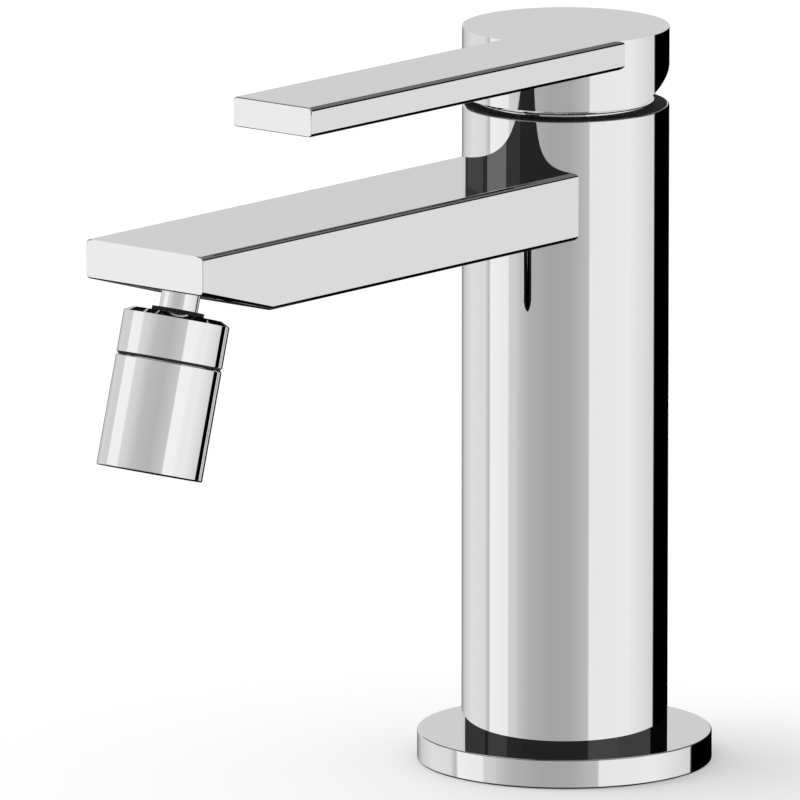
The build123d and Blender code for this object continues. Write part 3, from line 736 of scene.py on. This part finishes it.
    def insert(self) -> None:
        """Makes the insert's housing, with the key blocks round its outlet."""
        outside = self.chamber_radius - self.edge_break
        inside = outside - self.insert_wall
        top = self.chamber_start + self.gasket_height
        roof = top + self.insert_wall
        bottom = self.end - self.insert_recess
        corners = (
            Corner(self.throat, top), Corner(outside, top), Corner(outside, bottom), Corner(inside, bottom),
            Corner(inside, roof), Corner(self.throat, roof),
        )
        mesh = turned(corners, SMALL_STEPS)
        outlet = [face for face in mesh.faces if face.normal.z > FACING]
        blocks = [face for face in outlet if self.is_key(face.calc_center_median(), roof)]
        grow(mesh, blocks, (0.0, 0.0, self.key_height))
        bmesh.ops.delete(mesh, geom=blocks, context="FACES_ONLY")
        self.finish_piece("insert_housing", mesh, WHITE_PLASTIC, ("aerator_housing",), self.place())

    def is_key(self, point: Vector, roof: float) -> bool:
        """Says whether a point lies beyond the insert's roof, where a key block stands on the rim."""
        turn = math.atan2(point.y, point.x) / math.tau * self.key_count
        return point.z > roof and turn % 1.0 < self.key_share

    def cells(self) -> None:
        """Makes the outlet's honeycomb and the ring that carries it."""
        outlet = self.end - self.insert_recess - self.cell_depth * self.cell_setback
        mesh = bmesh.new()
        side = self.cell_pitch / math.sqrt(3.0)
        turn = Matrix.Rotation(math.radians(self.cell_turn), 4, "Z")
        places = range(-self.cell_rings, self.cell_rings + 1)
        for row, column in ((row, column) for row in places for column in places):
            if abs(row + column) <= self.cell_rings:
                across = self.cell_pitch * (column + row / 2)
                along = self.cell_pitch * row * math.sqrt(3.0) / 2
                spot = Matrix.Translation((across, along, outlet)) @ turn
                bmesh.ops.create_circle(mesh, cap_ends=True, segments=6, radius=side, matrix=spot)
        bmesh.ops.remove_doubles(mesh, verts=mesh.verts, dist=TOUCH)
        cells = list(mesh.faces)
        bmesh.ops.inset_individual(mesh, faces=cells, thickness=self.cell_wall / 2, use_even_offset=True)
        bmesh.ops.delete(mesh, geom=cells, context="FACES")
        grow(mesh, list(mesh.faces), (0.0, 0.0, -self.cell_depth), keep=True)
        face_out(mesh)
        self.finish_piece("outlet_cells", mesh, WHITE_PLASTIC, ("aerator_screen",), self.place())
        inside = self.cell_pitch * (self.cell_rings + self.carrier_reach)
        outside = self.chamber_radius - self.edge_break - self.insert_wall - self.edge_break
        carrier = (
            Corner(inside, outlet - self.cell_depth), Corner(outside, outlet - self.cell_depth),
            Corner(outside, outlet, self.edge_break), Corner(inside, outlet, self.edge_break),
        )
        self.turn("outlet_ring", carrier, STEEL, steps=SMALL_STEPS)


@dataclass
class LeverHandle(SubAssembly):
    """The round head and its side-set flat bar, in one mesh."""

    bar_width: float = 21.6 * MM  # from the head's middle to its right
    bar_thickness: float = 6.4 * MM
    bar_reach: float = 1.5  # how far in front of the axis its root is made at first, in head radii
    edge_round: float = 0.8 * MM  # of the bar's long edges
    edge_margin: float = 1.2 * MM  # at each side of the root, where the roundings are
    tip_round: float = 0.2 * MM  # of its end and of the plug
    recess_radius: float = 16.5 * MM  # of the hollow under the head
    recess_depth: float = 6.0 * MM
    boss_width: float = 13.0 * MM  # of the square socket in it
    boss_setback: float = 1.7 * MM  # how far the socket stays behind the head's underside
    cut_start: float = 1.8 * MM  # how far in front of the axis the back of the head starts to rise
    cut_angle: float = 23.3  # that it rises at, in degrees
    plug_height: float = 5.3 * MM  # above the underside
    plug_radius: float = 3.0 * MM
    plug_depth: float = 3.0 * MM

    def __post_init__(self) -> None:
        """Reads the handle's limits from the frame and starts its mesh."""
        low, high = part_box("lever_handle")
        self.radius, self.tip = high.y, low.y
        self.bottom, self.top = low.z, high.z
        self.bar_bottom = self.top - self.bar_thickness
        self.root = -self.bar_reach * self.radius
        self.mesh: Mesh = bmesh.new()

    def build(self) -> None:
        """Makes the handle as one closed shell, and the plug in its side."""
        self.hollow(self.disc())
        self.cut_back()
        self.open_front()
        self.bar()
        self.finish_piece("handle", self.mesh, CHROME, ("lever_handle",), crease=FINE_CREASE)
        self.plug()

    def disc(self) -> Face:
        """Makes the head's round slab, as thick as the bar.

        Returns:
            The slab's lower face.
        """
        mesh = self.mesh
        level = Matrix.Translation((0.0, 0.0, self.top))
        bmesh.ops.create_circle(mesh, cap_ends=True, segments=ROUND_STEPS, radius=self.radius, matrix=level)
        cut = bmesh.ops.bisect_plane(
            mesh, geom=[*mesh.verts, *mesh.edges, *mesh.faces], plane_co=RIGHT * self.bar_width,
            plane_no=RIGHT,
        )["geom_cut"]
        bmesh.ops.dissolve_edges(mesh, edges=only(Edge, cut), use_verts=False)
        return only(Face, grow(mesh, list(mesh.faces), (0.0, 0.0, -self.bar_thickness), keep=True))[0]

    def hollow(self, head: Face) -> None:
        """Grows the head down round its hollow, with the square socket in the middle.

        Args:
            head: the head's lower face.
        """
        mesh = self.mesh
        roof = self.bottom + self.recess_depth
        head = self.lower([head], roof)[0]
        rim_width = self.radius - self.recess_radius
        bmesh.ops.inset_individual(mesh, faces=[head], thickness=rim_width, use_even_offset=True)
        rim_faces = [face for edge in head.edges for face in edge.link_faces if face is not head]
        self.lower(rim_faces, self.bottom)
        rim = list(head.edges)
        bmesh.ops.delete(mesh, geom=[head], context="FACES_ONLY")
        turn = Matrix.Translation((0.0, 0.0, roof)) @ Matrix.Rotation(math.pi / 4, 4, "Z")
        verts = bmesh.ops.create_circle(
            mesh, cap_ends=True, segments=4, radius=self.boss_width / math.sqrt(2.0), matrix=turn,
        )["verts"]
        boss = verts[0].link_faces[0]
        bmesh.ops.triangle_fill(mesh, edges=rim + list(boss.edges), use_beauty=True, normal=-UP)
        self.lower([boss], self.bottom + self.boss_setback)
        bmesh.ops.remove_doubles(mesh, verts=mesh.verts, dist=WELD)
        face_out(mesh)

    def lower(self, faces: list[Face], height: float) -> list[Face]:
        """Grows level faces down.

        Args:
            faces: the faces.
            height: where they end.

        Returns:
            The faces at that height.
        """
        grown = bmesh.ops.extrude_face_region(self.mesh, geom=faces, use_keep_orig=False)["geom"]
        for vert in only(Vert, grown):
            vert.co.z = height
        bmesh.ops.delete(self.mesh, geom=[face for face in faces if face.is_valid], context="FACES_ONLY")
        return only(Face, grown)

    def cut_back(self) -> None:
        """Cuts the back of the head on a slope, so that it clears the column's rim when the bar is up."""
        mesh = self.mesh
        slope = math.radians(self.cut_angle)
        normal = Vector((0.0, math.sin(slope), -math.cos(slope)))
        cut = bmesh.ops.bisect_plane(
            mesh, geom=[*mesh.verts, *mesh.edges, *mesh.faces], plane_co=(0.0, -self.cut_start, self.bottom),
            plane_no=normal, clear_outer=True,
        )["geom_cut"]
        bmesh.ops.triangle_fill(mesh, edges=only(Edge, cut), use_beauty=True, normal=normal)
        face_out(mesh)

    def in_bar(self, point: Vector) -> bool:
        """Says whether a point of the head's wall lies in the bar's width, in front."""
        return -TOUCH < point.x < self.bar_width + TOUCH and point.y < 0.0

    def open_front(self) -> None:
        """Opens the head's wall where the bar joins it."""
        lowest = self.bar_bottom - TOUCH
        window = [
            face for face in self.mesh.faces
            if all(vert.co.z > lowest and self.in_bar(vert.co) for vert in face.verts)
        ]
        bmesh.ops.delete(self.mesh, geom=window, context="FACES")

    def bar(self) -> None:
        """Makes the rounded bar and joins its root to the opening in the head's wall."""
        mesh = self.mesh
        size = (self.bar_width, self.root - self.tip, self.bar_thickness, 1.0)
        middle = (self.bar_width / 2, (self.root + self.tip) / 2, (self.top + self.bar_bottom) / 2)
        place = Matrix.Translation(middle) @ Matrix.Diagonal(size)
        verts = bmesh.ops.create_cube(mesh, size=1.0, matrix=place)["verts"]
        faces = dict.fromkeys(face for vert in verts for face in vert.link_faces)
        ends = [face for face in faces if lies_at(face, y=self.root)]
        bmesh.ops.delete(mesh, geom=ends, context="FACES_ONLY")
        edges = dict.fromkeys(edge for vert in verts for edge in vert.link_edges)
        long_edges = [edge for edge in edges if not near(edge.verts[0].co.y, edge.verts[1].co.y)]
        bevel_edges(mesh, long_edges, self.edge_round)
        bevel_edges(mesh, [edge for edge in mesh.edges if lies_at(edge, y=self.tip)], self.tip_round)
        for height in (self.top, self.bar_bottom):
            self.follow_rim(height)
        for across in (0.0, self.bar_width):
            self.split_upright(across)
        for vert in mesh.verts:
            if near(vert.co.y, self.root):
                vert.co.y = -math.sqrt(self.radius * self.radius - vert.co.x * vert.co.x)
        bmesh.ops.remove_doubles(mesh, verts=mesh.verts, dist=TOUCH)
        bmesh.ops.holes_fill(mesh, edges=[edge for edge in mesh.edges if edge.is_boundary], sides=0)
        face_out(mesh)

    def follow_rim(self, height: float) -> None:
        """Bends the root's level edge to the corners of the head's rim.

        Args:
            height: the height of the edge.
        """
        low, high = self.edge_margin, self.bar_width - self.edge_margin
        level = [vert.co.copy() for vert in self.mesh.verts if near(vert.co.z, height)]
        front = [spot for spot in level if self.in_bar(spot) and low < spot.x < high]
        rim = [spot for spot in front if near(math.hypot(spot.x, spot.y), self.radius)]
        rim.sort(key=lambda spot: spot.x)
        self.split_edge(next(edge for edge in self.mesh.edges if lies_at(edge, y=self.root, z=height)), rim)

    def split_upright(self, across: float) -> None:
        """Splits an upright edge of the opening where the bar's roundings end.

        Args:
            across: where the edge is, along X.
        """
        upright = next(
            edge for edge in self.mesh.edges
            if edge.is_boundary and near(edge.calc_length(), self.bar_thickness) and lies_at(edge, x=across)
            and all(vert.co.y > -self.radius - TOUCH for vert in edge.verts)
        )
        along = upright.verts[0].co.y
        heights = (self.bar_bottom + self.edge_round, self.top - self.edge_round)
        self.split_edge(upright, [Vector((across, along, height)) for height in heights])

    def split_edge(self, edge: Edge, spots: Sequence[Vector]) -> None:
        """Splits an edge and moves the new corners to given places.

        Args:
            edge: the edge.
            spots: the places, going up or to the right.
        """
        split = bmesh.ops.bisect_edges(self.mesh, edges=[edge], cuts=len(spots))["geom_split"]
        corners = sorted(only(Vert, split), key=lambda vert: vert.co.x + vert.co.z)
        for corner, spot in zip(corners, spots):
            corner.co = spot

    def plug(self) -> None:
        """Makes the plug over the grub screw in the head's left side, a hair proud of it."""
        mesh = bmesh.new()
        middle = Vector((self.plug_depth / 2 - self.radius, 0.0, self.bottom + self.plug_height))
        bmesh.ops.create_cone(
            mesh, cap_ends=True, segments=SMALL_STEPS, radius1=self.plug_radius,
            radius2=self.plug_radius, depth=self.plug_depth,
            matrix=Matrix.Translation(middle) @ Matrix.Rotation(math.pi / 2, 4, "Y"),
        )
        outer = [edge for edge in mesh.edges if all(vert.co.x < middle.x for vert in edge.verts)]
        bevel_edges(mesh, outer, self.tip_round)
        self.finish_piece("screw_cover", mesh, CHROME, ("lever_plug",))


class InnerWorks:
    """The nodes of the frame that keep their own shape and only get a finish."""

    def build(self) -> None:
        """Dresses every node that is still shown."""
        by_slot = {finish.slot: finish for finish in FINISHES}
        for part in frame["record"]["subparts"]:
            node = frame["nodes"][part["node"]]
            if node.hide_render:
                continue
            finish = by_slot[part["material_slot"]]
            for slot in node.material_slots:
                slot.material = finish.material()
            log.info("%s: kept shape, %s", part["node"], finish.name)


@dataclass(frozen=True)
class CardRow:
    """Dark cards close to the mixer, bent round it, which only mirror images show."""

    name: str
    radius: float  # how far they stand from the column's axis
    edges: Span  # the heights of their lower and upper edge
    cards: tuple[Triple, ...]  # where each starts and ends, and its tone


# Azimuths are in degrees from the camera, to its right. A tone is how bright polished chrome shows a thing.
FULL_TURN = (-180.0, 180.0)
RIGHT_ANGLE = 90.0
CHROME_SHARE = 0.87
# Each panel of the walls below and above the camera's level: where it ends, and its tones at start and end
LOW_WALLS = (
    (-177.5, 0.03, 0.03), (-170.0, 0.42, 0.46), (-150.0, 0.48, 0.78), (-130.0, 0.78, 0.85),
    (-101.0, 0.86, 0.85), (-94.0, 0.82, 0.70), (-67.0, 0.935, 0.91), (-56.0, 0.81, 0.795),
    (-40.0, 0.77, 0.68), (-14.0, 0.68, 0.638), (4.0, 0.638, 0.65), (26.0, 0.65, 0.735), (77.0, 0.90, 0.915),
    (116.5, 0.905, 0.815), (180.0, 0.0, 0.0),
)
HIGH_WALLS = (
    (-165.0, 0.79, 0.82), (-108.0, 0.80, 0.81), (-76.0, 0.94, 0.935), (-56.0, 0.845, 0.81),
    (-37.0, 0.80, 0.73), (-6.0, 0.73, 0.705), (26.0, 0.705, 0.78), (77.0, 0.94, 0.94), (116.5, 0.92, 0.90),
    (174.0, 0.0, 0.0), (180.0, 0.79, 0.79),
)
# The ceiling's tones by elevation, the walls' upper edge by azimuth, and the ground's tones by azimuth
CEILING_TONES = ((0.0, 0.0), (20.0, 0.04), (26.0, 0.33), (34.0, 0.43), (90.0, 0.43))
WALL_HEIGHTS = ((-180.0, 18.0), (84.0, 18.0), (92.0, 3.0), (173.0, 3.0), (174.0, 18.0), (180.0, 18.0))
GROUND_TONES = ((-180.0, 0.03), (-145.0, 0.1), (60.0, 0.1), (92.0, 0.0), (180.0, 0.0))
CARD_ROWS = (
    CardRow("foot_card", 5.0, (1.016, 1.235), (
        (-150.0, -101.0, 0.21), (-101.0, -94.0, 0.13), (14.0, 26.0, 0.14), (26.0, 62.0, 0.27),
        (62.0, 112.0, 0.25),
    )),
    CardRow("foot_card", 0.5, (0.098, 0.130), (
        (-94.0, -67.0, 0.24), (-67.0, -50.0, 0.16), (-50.0, 14.0, 0.14),
    )),
    CardRow("spout_card", 0.22, (0.150, 0.180), (
        (-135.0, -101.0, 0.27), (-101.0, -94.0, 0.18), (-94.0, -67.0, 0.42), (-67.0, -50.0, 0.21),
        (-50.0, 22.0, 0.145),
    )),
)


def light_for(tone: float) -> float:
    """Gives the light that polished chrome shows as a displayed tone, by the sRGB curve."""
    linear = tone / 12.92 if tone <= 0.04045 else ((tone + 0.055) / 1.055) ** 2.4
    return linear / CHROME_SHARE


def lit(stops: Iterable[Span]) -> list[Span]:
    """Turns the tones of a row of stops into light."""
    return [(place, light_for(tone)) for place, tone in stops]


@dataclass
class LightTent:
    """The round tent and the cards that the chrome mirrors. Nothing else sees them."""

    azimuth: float  # the camera's
    radius: float = 6.0
    edge_softness: float = 0.6  # the width of a panel's soft edge, in degrees
    middle: Span = (-1.5, 2.0)  # the elevations where the low walls pass into the high ones
    rim: float = 2.5  # the width of the walls' soft upper edge, in degrees
    hem: Span = (-17.0, -19.0)  # the elevations where the walls pass into the ground
    underside: Span = (-46.0, -60.0)  # the elevations where the ground passes into the tone below
    underside_tone: float = 0.08
    softbox: Span = (50.0, 78.0)  # the elevations of the soft light high at the back
    softbox_turn: float = 110.0  # the azimuth to each side where it starts
    softbox_tone: float = 0.88

    def build(self) -> None:
        """Makes the tent and its cards."""
        self.tent()
        cards = [(row, card) for row in CARD_ROWS for card in row.cards]
        for number, (row, card) in enumerate(cards):
            self.card(f"{row.name}_{number}", row, card)

    def tent(self) -> None:
        """Makes the tent, whose light depends on the direction alone."""
        mesh = bmesh.new()
        steps = SMALL_STEPS
        bmesh.ops.create_uvsphere(mesh, u_segments=steps, v_segments=steps // 2, radius=self.radius)
        bmesh.ops.reverse_faces(mesh, faces=mesh.faces)
        material = bpy.data.materials.new("light_tent")
        sheet = NodeSheet(material)
        azimuth, elevation = self.direction(sheet)
        rings = (self.wall_stops(LOW_WALLS), self.wall_stops(HIGH_WALLS))
        low, high = (sheet.ramp(azimuth, FULL_TURN, stops) for stops in rings)
        light = sheet.mix(low, high, sheet.remap(elevation, self.middle))
        heights = [(turn, rise / RIGHT_ANGLE) for turn, rise in WALL_HEIGHTS]
        top = sheet.calc("MULTIPLY", sheet.ramp(azimuth, FULL_TURN, heights), RIGHT_ANGLE)
        over = sheet.remap(sheet.calc("SUBTRACT", elevation, top), (0.0, self.rim))
        light = sheet.mix(light, self.ceiling(sheet, azimuth, elevation), over)
        ground = sheet.ramp(azimuth, FULL_TURN, lit(GROUND_TONES))
        below = grey(light_for(self.underside_tone))
        ground = sheet.mix(ground, below, sheet.remap(elevation, self.underside))
        sheet.glow(sheet.mix(light, ground, sheet.remap(elevation, self.hem)))
        self.mirror_only(new_object("light_tent", mesh, material))

    def direction(self, sheet: NodeSheet) -> tuple[Socket, Socket]:
        """Finds where a point of the tent lies, seen from its middle.

        Args:
            sheet: the node tree.

        Returns:
            The azimuth from the camera, and the elevation.
        """
        place = sheet.add("ShaderNodeTexCoord").outputs["Object"]
        turn = {"Vector": place, "Rotation": (0.0, 0.0, -math.radians(self.azimuth))}
        place = sheet.add("ShaderNodeMapping", turn, vector_type="POINT").outputs["Vector"]
        unit = sheet.add("ShaderNodeVectorMath", {0: place}, operation="NORMALIZE").outputs["Vector"]
        across, back, rise = sheet.add("ShaderNodeSeparateXYZ", {0: unit}).outputs
        forward = sheet.calc("MULTIPLY", back, -1.0)
        azimuth = sheet.calc("DEGREES", sheet.calc("ARCTAN2", across, forward))
        return azimuth, sheet.calc("DEGREES", sheet.calc("ARCSINE", rise))

    def ceiling(self, sheet: NodeSheet, azimuth: Socket, elevation: Socket) -> Socket:
        """Makes what lies above the walls: dark cloth, with a soft light high at the back.

        Args:
            sheet: the node tree.
            azimuth: the azimuth.
            elevation: the elevation.

        Returns:
            The grey.
        """
        cloth = sheet.ramp(elevation, (0.0, RIGHT_ANGLE), lit(CEILING_TONES))
        low, high = self.softbox
        inside = sheet.remap(elevation, (low, low + self.rim))
        under = sheet.remap(elevation, (high, high + self.rim), (1.0, 0.0))
        turn = sheet.calc("ABSOLUTE", azimuth)
        back = sheet.remap(turn, (self.softbox_turn, self.softbox_turn + self.rim))
        share = sheet.calc("MULTIPLY", sheet.calc("MULTIPLY", inside, under), back)
        return sheet.mix(cloth, grey(light_for(self.softbox_tone)), share)

    def wall_stops(self, panels: Iterable[Triple]) -> list[Span]:
        """Gives the ramp of a ring of panels.

        Args:
            panels: where each panel ends, and its tones at start and end.

        Returns:
            Two stops for each panel.
        """
        half = self.edge_softness / 2
        start = FULL_TURN[0]
        stops = []
        for end, start_tone, end_tone in panels:
            stops += [(start + half, start_tone), (end - half, end_tone)]
            start = end
        return lit(stops)

    def card(self, name: str, row: CardRow, share: Triple) -> None:
        """Makes one bent card.

        Args:
            name: its name.
            row: the row that it stands in.
            share: where it starts and ends, and its tone.
        """
        start, end, tone = share
        mesh = bmesh.new()
        turn = Matrix.Rotation(math.radians(self.azimuth + start - RIGHT_ANGLE), 4, "Z")
        points = [mesh.verts.new(turn @ Vector((row.radius, 0.0, height))) for height in row.edges]
        edge = mesh.edges.new(points)
        bmesh.ops.spin(
            mesh, geom=[*points, edge], cent=MIDDLE, axis=UP, angle=math.radians(end - start),
            steps=CARD_STEPS, use_merge=False,
        )
        material = bpy.data.materials.new(name)
        NodeSheet(material).glow(grey(light_for(tone)))
        self.mirror_only(new_object(name, mesh, material))

    def mirror_only(self, made: bpy.types.Object) -> None:
        """Makes a studio object that only mirror rays see and that isn't sampled as a lamp.

        Args:
            made: the object.
        """
        for rays in ("camera", "diffuse", "shadow", "transmission", "volume_scatter"):
            setattr(made, f"visible_{rays}", False)
        made.active_material.cycles.emission_sampling = "NONE"


def stand(data: bpy.types.ID, spot: Sequence[float], towards: Vector) -> bpy.types.Object:
    """Stands a camera or a lamp in the scene.

    Args:
        data: the camera or lamp.
        spot: where it stands.
        towards: the way that it looks.

    Returns:
        The object.
    """
    made = bpy.data.objects.new(data.name, data)
    made.location = spot
    made.rotation_mode = "QUATERNION"
    made.rotation_quaternion = towards.to_track_quat("-Z", "Y")
    bpy.context.scene.collection.objects.link(made)
    return made


@dataclass
class Studio:
    """The camera, the light and the plain pale floor."""

    azimuth: float = 39.847  # the camera's, in degrees, as the next
    elevation: float = 11.453
    distance: float = 3596.4 * MM  # from the camera to its aim
    aim_height: float = 85.0 * MM  # on the column, where the next two are counted from
    aim_right: float = -35.930 * MM
    aim_up: float = -5.429 * MM
    lens: float = 743.79  # in millimetres, on the sensor below
    sensor: float = 36.0
    ambient: float = 0.86  # the strength of the plain light from all round
    lamp_power: float = 0.84  # with the ambient light, it lights the floor to white
    lamp_width: float = 50.0  # how wide the lamp looks from the mixer, in degrees
    lamp_from: Triple = (-0.6, -0.5, 1.2)
    floor_radius: float = 8.0
    floor_gap: float = 0.1 * MM  # under the mixer
    floor_tone: float = 0.97  # how much light it gives back

    def build(self) -> None:
        """Sets the camera, the world, the lamp, the floor and the tent."""
        self.camera()
        self.world()
        self.lamp()
        self.floor()
        LightTent(self.azimuth).build()
        bpy.context.scene.view_settings.view_transform = "Standard"
        log.info("studio: camera at azimuth %.1f, elevation %.1f", self.azimuth, self.elevation)

    def camera(self) -> None:
        """Sets the camera at the picture's angle."""
        turn, rise = math.radians(self.azimuth), math.radians(self.elevation)
        back = Vector((math.sin(turn) * math.cos(rise), -math.cos(turn) * math.cos(rise), math.sin(rise)))
        right = Vector((math.cos(turn), math.sin(turn), 0.0))
        aim = UP * self.aim_height + right * self.aim_right + back.cross(right) * self.aim_up
        data = bpy.data.cameras.new("camera")
        data.lens = self.lens
        data.sensor_width = self.sensor
        data.clip_end = 2 * self.floor_radius
        bpy.context.scene.camera = stand(data, aim + back * self.distance, -back)

    def world(self) -> None:
        """Makes the white surroundings, and the plain light that they give to matt things."""
        world = bpy.data.worlds.new("studio")
        bpy.context.scene.world = world
        sheet = NodeSheet(world)
        rays = sheet.add("ShaderNodeLightPath").outputs
        seen = sheet.calc("ADD", rays["Is Camera Ray"], rays["Is Glossy Ray"])
        both = {"Fac": sheet.calc("ADD", seen, rays["Is Transmission Ray"], use_clamp=True)}
        for place, strength in ((1, self.ambient), (2, 1.0)):
            light = {"Color": grey(1.0), "Strength": strength}
            both[place] = sheet.add("ShaderNodeBackground", light).outputs[0]
        sheet.add("ShaderNodeOutputWorld", {"Surface": sheet.add("ShaderNodeMixShader", both).outputs[0]})

    def lamp(self) -> None:
        """Sets one wide soft lamp over the left of the mixer. The tent stands for it in mirror images."""
        data = bpy.data.lights.new("soft_lamp", "SUN")
        data.angle = math.radians(self.lamp_width)
        data.energy = self.lamp_power
        stand(data, self.lamp_from, -Vector(self.lamp_from)).visible_glossy = False

    def floor(self) -> None:
        """Lays the plain pale floor just under the mixer."""
        mesh = bmesh.new()
        level = Matrix.Translation((0.0, 0.0, -self.floor_gap))
        steps = SMALL_STEPS
        bmesh.ops.create_circle(mesh, cap_ends=True, segments=steps, radius=self.floor_radius, matrix=level)
        material = bpy.data.materials.new("pale_floor")
        sheet = NodeSheet(material)
        sheet.end(sheet.add("ShaderNodeBsdfDiffuse", {"Color": grey(self.floor_tone)}))
        floor = new_object("floor", mesh, material)
        floor.visible_glossy = False


def main() -> None:
    """Builds the studio and the mixer's sub-assemblies in order."""
    logging.basicConfig(level=logging.INFO, format="%(message)s")
    Studio().build()
    Foot("body").build()
    Column("body").build()
    SpoutArm("body").build()
    BallStem("body").build()
    AeratorHead("swivel").build()
    LeverHandle("lever").build()
    InnerWorks().build()


if __name__ == "__main__":
    main()
